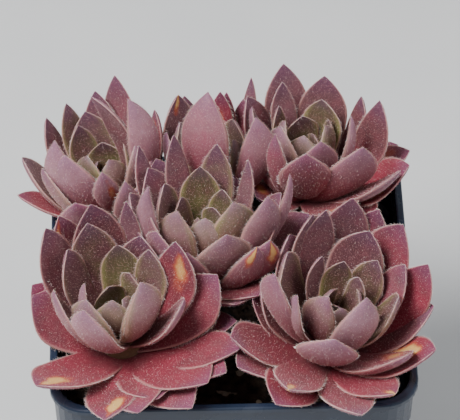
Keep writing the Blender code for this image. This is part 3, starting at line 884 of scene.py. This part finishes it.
def leaf_lines(name, leaves):
    """Middle lines of a rosette's leaves, as loose edges."""
    frame_of = rosette_frame(ROSETTES[name])
    rng = random.Random(name + "_colour")
    points, edges = [], []
    tints, ripe = TINTS[name], RIPE.get(name, {})
    marks = {key: [] for key in LEAF_MARKS + LEAF_TINTS}
    for number, leaf in enumerate(leaves, 1):
        if number <= len(tints):
            red, bloom = tints[number - 1]
            ripe_along, ripe_across, ripeness = ripe.get(number, (0.0, 0.0, 0.0))
        else:
            red = 0.1 + 0.85 * leaf.age + rng.uniform(-0.15, 0.15)
            bloom = rng.uniform(0.2, 0.7)
            ripe_along, ripe_across, ripeness = 0.7, rng.uniform(-0.5, 0.5), 0.0
            if leaf.age > OLD_AGE and rng.random() < RIPE_CHANCE:
                ripeness = rng.uniform(0.3, 0.9)
        tint = (red, bloom, ripe_along, ripe_across, ripeness)
        shares = leaf_shares()
        for step, (share, place) in enumerate(zip(shares, leaf.stations(frame_of, shares))):
            middle, side, up = place
            width = leaf.half * leaf_half_width(min(share, 1.0))
            point_off = min(1.0, (1.0 - share) / TIP_SHARPNESS) ** 0.6
            if step:
                edges.append((len(points) - 1, len(points)))
            points.append(middle)
            marks["side"].append(side)
            marks["up"].append(up)
            marks["half"].append(width * MM)
            marks["thick"].append(leaf_thickness(share) * leaf.size * point_off * MM)
            marks["dish"].append(DISH_SHARE * width * MM)
            marks["along"].append(share)
            for key, value in zip(LEAF_TINTS, tint):
                marks[key].append(value)
    lines = mesh_object(name + "_lines", points, [], edges, shown=True)
    for key, values in marks.items():
        mark(lines.data, key, "FLOAT_VECTOR" if key in ("side", "up") else "FLOAT", values)
    mark(lines.data, "middle", "FLOAT_VECTOR", [p * MM for p in points])
    return lines


print("a leaf has", LINE_POINTS, "stations")

# %% [markdown]
# ## The skin of a houseleek leaf
#
# The leaf is a water store under a thin matt skin. Sun turns the skin from olive to
# crimson, first on the old leaves and towards the tips. The outer side wears a waxy bloom
# that greys it to mauve. The edge is pale and almost clear. Down scatters light, which a
# sheen gives the eye, and the water inside lets a little light through.

# %% Leaf skin material


def mix(tree, factor, first, second, blend="MIX"):
    """Blends two colours, each a hex code or a link."""
    node = add(tree, "ShaderNodeMix", {"data_type": "RGBA", "blend_type": blend}, _0=factor)
    for socket, value in ((6, first), (7, second)):
        if isinstance(value, str):
            node.inputs[socket].default_value = colour(value)
        else:
            tree.links.new(value, node.inputs[socket])
    return node.outputs[2]


def ramp(tree, value, low, high):
    """Rises smoothly from 0 at low to 1 at high."""
    node = add(tree, "ShaderNodeMapRange", {"interpolation_type": "SMOOTHSTEP"}, _0=value)
    node.inputs[1].default_value = low
    node.inputs[2].default_value = high
    return node.outputs[0]


def stored(tree, name):
    """A number stored on the piece's points."""
    return add(tree, "ShaderNodeAttribute", {"attribute_name": name}).outputs["Fac"]


def noise(tree, size_mm, detail=2.0):
    """Soft noise whose features are so many millimetres across."""
    where = add(tree, "ShaderNodeTexCoord").outputs["Object"]
    node = add(tree, "ShaderNodeTexNoise", Vector=where, Scale=1.0 / (size_mm * MM), Detail=detail)
    return node.outputs["Fac"]


def power(tree, value, strength):
    """A value times a strength, kept between 0 and 1."""
    node = add(tree, "ShaderNodeMath", {"operation": "MULTIPLY", "use_clamp": True}, _0=value, _1=strength)
    return node.outputs[0]


leaf_skin, tree, shader = new_material("houseleek_skin")
along, over, across = stored(tree, "along"), stored(tree, "over"), stored(tree, "across")
edge = calc(tree, "ABSOLUTE", across)
patchy = calc(tree, "SUBTRACT", noise(tree, 4.0, 3.0), 0.5)
red = calc(tree, "ADD", stored(tree, "red"), calc(tree, "MULTIPLY", patchy, 0.7))
inner = mix(tree, ramp(tree, red, 0.0, 0.5), "#4f4e24", "#4c2528")
inner = mix(tree, ramp(tree, red, 0.45, 1.2), inner, "#842035")
outer = mix(tree, ramp(tree, red, 0.0, 0.6), "#6a6338", "#733e43")
outer = mix(tree, ramp(tree, red, 0.6, 1.2), outer, "#8e2a42")
low = calc(tree, "SUBTRACT", 1.0, ramp(tree, along, 0.35, 0.8))
outer = mix(tree, power(tree, low, 0.55), outer, "#7c243b")
under = calc(tree, "SUBTRACT", 1.0, ramp(tree, over, -0.35, 0.05))
face = mix(tree, under, inner, outer)
waxy = calc(tree, "MULTIPLY", stored(tree, "bloom"), ramp(tree, along, 0.25, 0.8))
waxy = calc(tree, "MULTIPLY", waxy, calc(tree, "ADD", 0.35, calc(tree, "MULTIPLY", under, 0.65)))
mottle = calc(tree, "ADD", 0.45, calc(tree, "MULTIPLY", noise(tree, 1.6, 5.0), 0.8))
face = mix(tree, power(tree, calc(tree, "MULTIPLY", waxy, mottle), 0.85), face, "#b08593")
young = calc(tree, "SUBTRACT", 1.0, ramp(tree, stored(tree, "red"), 0.15, 0.6))
margin = calc(tree, "MULTIPLY", ramp(tree, edge, 0.6, 0.98), young)
face = mix(tree, power(tree, margin, 0.55), face, "#8b8a4e")
tip = ramp(tree, along, 0.74, 1.0)
face = mix(tree, power(tree, tip, 0.5), face, "#6b4468")
face = mix(tree, power(tree, ramp(tree, edge, 0.88, 1.0), 0.55), face, "#c9968f")
print("leaf skin has", len(tree.nodes), "nodes so far")

# %% [markdown]
# ## Ripe patches, speckles and the feel of the skin
#
# A ripe patch fades outwards from its middle: yellow inside, orange around. Fine pale
# speckles are the feet of the down, closer than half a millimetre. The roots are painted
# dark: painted shade for the little light that gets in between the leaves.

# %% Rest of the leaf skin
beside = calc(tree, "MULTIPLY", calc(tree, "SUBTRACT", across, stored(tree, "ripe_across")), 0.45)
beyond = calc(tree, "SUBTRACT", along, stored(tree, "ripe_along"))
off = calc(tree, "ADD", calc(tree, "MULTIPLY", beside, beside), calc(tree, "MULTIPLY", beyond, beyond))
near = calc(tree, "SUBTRACT", 0.24, calc(tree, "SQRT", off))
near = calc(tree, "ADD", near, calc(tree, "MULTIPLY", patchy, 0.25))
ripe = calc(tree, "MULTIPLY", ramp(tree, near, 0.0, 0.22), stored(tree, "ripeness"))
face = mix(tree, ramp(tree, ripe, 0.0, 0.6), face, "#a84a35")
face = mix(tree, ramp(tree, ripe, 0.45, 1.1), face, "#d9ab63")
# Painted shade: every leaf is darkened towards its root, where the leaves around it shade it.
root_painted_shade = calc(tree, "SUBTRACT", 1.0, ramp(tree, along, 0.0, 0.4))
face = mix(tree, power(tree, root_painted_shade, 0.5), face, "#35191c")
fleck = ramp(tree, noise(tree, 0.28, 1.0), 0.5, 0.72)
face = mix(tree, power(tree, fleck, 0.25), face, "#cf9c98")
tree.links.new(face, shader.inputs["Base Color"])
dimple = add(
    tree, "ShaderNodeBump", Height=noise(tree, 0.6, 3.0), Strength=0.45, Distance=0.1 * MM
)
tree.links.new(dimple.outputs[0], shader.inputs["Normal"])
shader.inputs["Roughness"].default_value = 0.58
shader.inputs["IOR"].default_value = 1.42
shader.inputs["Sheen Weight"].default_value = 0.22
shader.inputs["Sheen Roughness"].default_value = 0.4
shader.inputs["Sheen Tint"].default_value = colour("#f0b4b4")
shader.inputs["Subsurface Weight"].default_value = 0.1
shader.inputs["Subsurface Radius"].default_value = (1.0, 0.35, 0.25)
shader.inputs["Subsurface Scale"].default_value = 1.2 * MM
print("leaf skin has", len(tree.nodes), "nodes")

# %% Hair and stem materials
hair, tree, shader = new_material("houseleek_hair")
tree.links.new(
    mix(tree, noise(tree, 3.0), "#d6b0ab", "#f4dfd6"), shader.inputs["Base Color"]
)
shader.inputs["Roughness"].default_value = 0.45
shader.inputs["Subsurface Weight"].default_value = 0.2
shader.inputs["Subsurface Scale"].default_value = 0.3 * MM
leaf_hair = hair

stem, tree, shader = new_material("houseleek_stem")
tree.links.new(
    mix(tree, noise(tree, 1.5, 4.0), "#4a3328", "#7d5f43"), shader.inputs["Base Color"]
)
rough = add(tree, "ShaderNodeBump", Height=noise(tree, 0.8, 4.0), Strength=0.7, Distance=0.3 * MM)
tree.links.new(rough.outputs[0], shader.inputs["Normal"])
shader.inputs["Roughness"].default_value = 0.85
stem_bark = stem
print("hair and stem ready")

# %% Leaves of every rosette
RING_POINTS = 16
WELD = 0.01 * MM


def signed_volume(mesh):
    """Volume that the faces enclose: negative where they face inwards."""
    mesh.calc_loop_triangles()
    total = 0.0
    for t in mesh.loop_triangles:
        a, b, c = (mesh.vertices[k].co for k in t.vertices)
        total += a.dot(b.cross(c))
    return total / 6.0


grown_leaves = all_leaves()
skins = {}
for name, leaves in grown_leaves.items():
    lines = leaf_lines(name, leaves)
    values = {"Ring points": RING_POINTS, "Weld distance": WELD, "Surface": leaf_skin}
    made = grow(lines, skin_tree, values, name + "_leaves")
    bpy.data.objects.remove(lines)
    if signed_volume(made.data) < 0.0:
        made.data.flip_normals()
    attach(made, "root")
    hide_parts(name)
    skins[name] = made
    print(name, len(leaves), "leaves,", len(made.data.polygons), "faces")

# %% [markdown]
# ## Short stems
#
# Under its leaves each rosette has a stub of brown stem that roots in the soil. It is
# turned like a bead on a string: rings of points around a leaning axis.

# %% Stems
STEM_SIDES = 28


def turned_rings(name):
    """Rings of a rosette's stem from its root to the heart."""
    frame_of = rosette_frame(ROSETTES[name])
    x, y, _ = ROSETTES[name]["heart"]
    angles = [math.radians(360.0 * k / STEM_SIDES) for k in range(STEM_SIDES)]
    rings = []
    ground = soil_height(x, y)
    for radius, z in ((STEM_RADIUS - 1.0, ground - STEM_DEPTH), (STEM_RADIUS, ground - 1.0)):
        rings.append([Vector((x + radius * math.cos(a), y + radius * math.sin(a), z)) for a in angles])
    reach = PITCH * LOWEST_SEAT + 2.0
    for radius, z in (
        (CORE_RADIUS - 0.8, -reach - 1.0),
        (CORE_RADIUS, -reach + 0.5),
        (CORE_RADIUS, -0.5 * reach),
        (0.5 * (CORE_TOP_RADIUS + CORE_RADIUS), 0.3),
        (CORE_TOP_RADIUS, 1.8),
        (0.4, 2.3),
    ):
        rings.append([frame_of @ Vector((radius * math.cos(a), radius * math.sin(a), z)) for a in angles])
    return rings


for name in ROSETTES:
    rings = turned_rings(name)
    made = mesh_object(name + "_stem", [p for ring in rings for p in ring], stack_faces(rings))
    made.data.shade_smooth()
    made.data.materials.append(stem_bark)
    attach(made, "root")
    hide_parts(name)
print("6 stems")

# %% [markdown]
# ## A fringe on every edge
#
# Both margins of a leaf carry stiff hairs about half a millimetre long, which point
# outwards and a little forwards. Lines along the margins are cut into equal steps and a
# thin three-sided cone stands on each step, tilted at random.

# %% Edge hairs
FRINGE_START = 0.3
FRINGE_STEP = 0.42
FRINGE_LENGTH = 0.75
HAIR_WIDTH = 0.08


def margin_lines(name, leaves):
    """Both margins of every leaf, with the direction outwards marked."""
    frame_of = rosette_frame(ROSETTES[name])
    points, edges, outward = [], [], []
    shares = [s for s in leaf_shares() if s >= FRINGE_START]
    for leaf in leaves:
        places = leaf.stations(frame_of, shares)
        for way in (-1.0, 1.0):
            last = None
            for share, (middle, side, up) in zip(shares, places):
                width = leaf.half * leaf_half_width(min(share, 1.0))
                if last is not None:
                    edges.append((last, len(points)))
                last = len(points)
                points.append(middle + side * way * width + up * DISH_SHARE * width)
                forward = side.cross(up) * -1.0
                outward.append((side * way + forward * 0.5 + up * 0.25).normalized())
    lines = mesh_object(name + "_margins", points, [], edges)
    mark(lines.data, "outward", "FLOAT_VECTOR", outward)
    return lines


def random_vector(tree, low, high):
    """A node that draws a vector between two corners."""
    settings = {"data_type": "FLOAT_VECTOR"}
    return add(tree, "FunctionNodeRandomValue", settings, _0=low, _1=high)


def hair_instances(tree, points, direction, length, width, spread, seed):
    """Thin cones on points, turned to a direction with a random tilt."""
    cone = add(
        tree,
        "GeometryNodeMeshCone",
        {"fill_type": "NONE"},
        Vertices=3,
        Radius_Top=0.0,
        Radius_Bottom=0.5 * width * MM,
        Depth=length,
    ).outputs["Mesh"]
    tilt = random_vector(tree, (-spread,) * 3, (spread,) * 3)
    tree.links.new(seed, tilt.inputs["Seed"])
    aim = vector_calc(tree, "ADD", direction, tilt.outputs[0])
    turn = add(tree, "FunctionNodeAlignRotationToVector", {"axis": "Z"}, Vector=aim).outputs[0]
    size = add(tree, "FunctionNodeRandomValue", {"data_type": "FLOAT"}, _2=0.55, _3=1.25)
    tree.links.new(seed, size.inputs["Seed"])
    return add(
        tree,
        "GeometryNodeInstanceOnPoints",
        Points=points,
        Instance=cone,
        Rotation=turn,
        Scale=size.outputs[1],
    ).outputs[0]


fringe_tree, given = new_geometry_tree(
    "leaf_fringe", {"Step": "Float", "Length": "Float", "Seed": "Int", "Surface": "Material"}
)
lines = add(fringe_tree, "GeometryNodeMeshToCurve", Mesh=given["Geometry"]).outputs[0]
cut = add(
    fringe_tree, "GeometryNodeResampleCurve", {"mode": "LENGTH"}, Curve=lines, Length=given["Step"]
).outputs[0]
hairs = hair_instances(
    fringe_tree,
    cut,
    attribute(fringe_tree, "outward", "FLOAT_VECTOR"),
    given["Length"],
    HAIR_WIDTH,
    0.35,
    given["Seed"],
)
close_tree(fringe_tree, hairs, given["Surface"])

for seed, (name, leaves) in enumerate(grown_leaves.items()):
    lines = margin_lines(name, leaves)
    values = {"Step": FRINGE_STEP * MM, "Length": FRINGE_LENGTH * MM, "Seed": seed, "Surface": leaf_hair}
    made = grow(lines, fringe_tree, values, name + "_edge_hairs")
    bpy.data.objects.remove(lines)
    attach(made, "root")
    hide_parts(name)
    print(made.name, len(made.data.polygons), "faces")

# %% [markdown]
# ## Down on the faces
#
# Shorter, softer hairs cover both faces and lean towards the tip. They are too small to
# see one by one, yet they make the leaf look frosted. They are scattered over the skin,
# nearly two on each square millimetre, and none at the hidden roots.

# %% Down
DOWN_DENSITY = 1.7
DOWN_LENGTH = 0.34
DOWN_WIDTH = 0.06

down_tree, given = new_geometry_tree(
    "leaf_down", {"Density": "Float", "Length": "Float", "Seed": "Int", "Surface": "Material"}
)
bare = add(
    down_tree,
    "FunctionNodeCompare",
    {"data_type": "FLOAT", "operation": "GREATER_THAN"},
    _0=attribute(down_tree, "along"),
    _1=0.3,
).outputs[0]
scatter = add(
    down_tree,
    "GeometryNodeDistributePointsOnFaces",
    Mesh=given["Geometry"],
    Selection=bare,
    Density=given["Density"],
    Seed=given["Seed"],
)
hairs = hair_instances(
    down_tree,
    scatter.outputs["Points"],
    scatter.outputs["Normal"],
    given["Length"],
    DOWN_WIDTH,
    0.7,
    given["Seed"],
)
close_tree(down_tree, hairs, given["Surface"])

for seed, (name, made_skin) in enumerate(skins.items()):
    values = {"Density": DOWN_DENSITY / MM**2, "Length": DOWN_LENGTH * MM, "Seed": seed, "Surface": leaf_hair}
    made = grow(made_skin, down_tree, values, name + "_down")
    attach(made, "root")
    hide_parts(name)
    print(made.name, len(made.data.polygons), "faces")

# %% [markdown]
# ## Potting mix
#
# The soil fills the pot to a finger's breadth below the rim. It is a dark peat mix with
# bark crumbs and a few pale bits of pumice, and it only shows through the gaps.

# %% Soil
SOIL_INSET = 0.6
SOIL_FINE_RINGS = 26
CRUMBS = 0.22

crumbly, tree, shader = new_material("potting_mix")
tone = mix(tree, ramp(tree, noise(tree, 2.0, 4.0), 0.3, 0.7), "#1b1411", "#4a382b")
pale = ramp(tree, noise(tree, 3.5, 0.0), 0.7, 0.76)
tree.links.new(mix(tree, pale, tone, "#a89a86"), shader.inputs["Base Color"])
grit = add(tree, "ShaderNodeBump", Height=noise(tree, 0.6, 5.0), Strength=0.9, Distance=0.3 * MM)
tree.links.new(grit.outputs[0], shader.inputs["Normal"])
shader.inputs["Roughness"].default_value = 0.95

low_half = pot_wall_half(FLOOR + SOIL_INSET, True) - SOIL_INSET
top_z = POT_HEIGHT - COLLAR_DROP - COLLAR_STEP - 1.0
top_half = pot_wall_half(top_z, True) - SOIL_INSET
rings = [
    rounded_square(low_half, pot_corner(low_half), FLOOR + 0.3),
    rounded_square(top_half, pot_corner(top_half), top_z),
]
for number in range(SOIL_FINE_RINGS):
    half = top_half * (1.0 - number / SOIL_FINE_RINGS)
    ring = rounded_square(half, pot_corner(top_half) * half / top_half, 0.0)
    for p in ring:
        p.z = soil_height(p.x, p.y)
    rings.append(ring)
heap = mesh_object("soil_heap", [p for ring in rings for p in ring], stack_faces(rings))

soil_tree, given = new_geometry_tree(
    "crumbly_soil", {"Roughness": "Float", "Density": "Float", "Seed": "Int", "Surface": "Material"}
)
lumps = add(soil_tree, "ShaderNodeTexNoise", Scale=220.0, Detail=3.0).outputs["Fac"]
normal = add(soil_tree, "GeometryNodeInputNormal").outputs[0]
upright = add(soil_tree, "ShaderNodeSeparateXYZ", _0=normal).outputs[2]
facing_up = add(
    soil_tree, "FunctionNodeCompare", {"data_type": "FLOAT", "operation": "GREATER_THAN"}, _0=upright, _1=0.7
).outputs[0]
lift = calc(soil_tree, "MULTIPLY", calc(soil_tree, "SUBTRACT", lumps, 0.6), given["Roughness"])
rise = add(soil_tree, "ShaderNodeCombineXYZ", _2=lift).outputs[0]
rough = add(
    soil_tree, "GeometryNodeSetPosition", Geometry=given["Geometry"], Selection=facing_up, Offset=rise
).outputs[0]
scatter = add(
    soil_tree,
    "GeometryNodeDistributePointsOnFaces",
    Mesh=rough,
    Selection=facing_up,
    Density=given["Density"],
    Seed=given["Seed"],
)
crumb = add(soil_tree, "GeometryNodeMeshIcoSphere", Radius=0.6 * MM, Subdivisions=1).outputs[0]
squash = random_vector(soil_tree, (0.4, 0.4, 0.3), (1.7, 1.5, 0.9))
turn = random_vector(soil_tree, (-0.6, -0.6, 0.0), (0.6, 0.6, 6.28))
crumbs = add(
    soil_tree,
    "GeometryNodeInstanceOnPoints",
    Points=scatter.outputs["Points"],
    Instance=crumb,
    Rotation=turn.outputs[0],
    Scale=squash.outputs[0],
).outputs[0]
both = add(soil_tree, "GeometryNodeJoinGeometry")
soil_tree.links.new(crumbs, both.inputs[0])
soil_tree.links.new(rough, both.inputs[0])
close_tree(soil_tree, both.outputs[0], given["Surface"])
values = {"Roughness": 2.0 * MM, "Density": CRUMBS / MM**2, "Seed": 3, "Surface": crumbly}
soil = grow(heap, soil_tree, values, "soil_mix")
bpy.data.objects.remove(heap)
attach(soil, "root")
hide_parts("soil")
print("soil", len(soil.data.polygons), "faces")

# %% [markdown]
# ## A nursery pot
#
# Injection-moulded polypropylene, dyed blue-black. It comes out of the mould glossy, with
# a fine orange-peel skin, and handling leaves dust and faint scratches on it.

# %% Pot material
plastic, tree, shader = new_material("moulded_polypropylene")
dust = ramp(tree, noise(tree, 9.0, 6.0), 0.5, 0.8)
body = mix(tree, noise(tree, 4.0, 2.0), "#1c2636", "#232f42")
tree.links.new(mix(tree, calc(tree, "MULTIPLY", dust, 0.12), body, "#6d7682"), shader.inputs["Base Color"])
gloss = calc(tree, "ADD", calc(tree, "MULTIPLY", dust, 0.15), 0.26)
tree.links.new(gloss, shader.inputs["Roughness"])
peel = add(tree, "ShaderNodeBump", Height=noise(tree, 0.8, 1.0), Strength=0.15, Distance=0.05 * MM)
tree.links.new(peel.outputs[0], shader.inputs["Normal"])
shader.inputs["IOR"].default_value = 1.49
pot = bpy.data.objects["pot"]
for slot in pot.material_slots:
    slot.material = plastic
print("pot dressed")
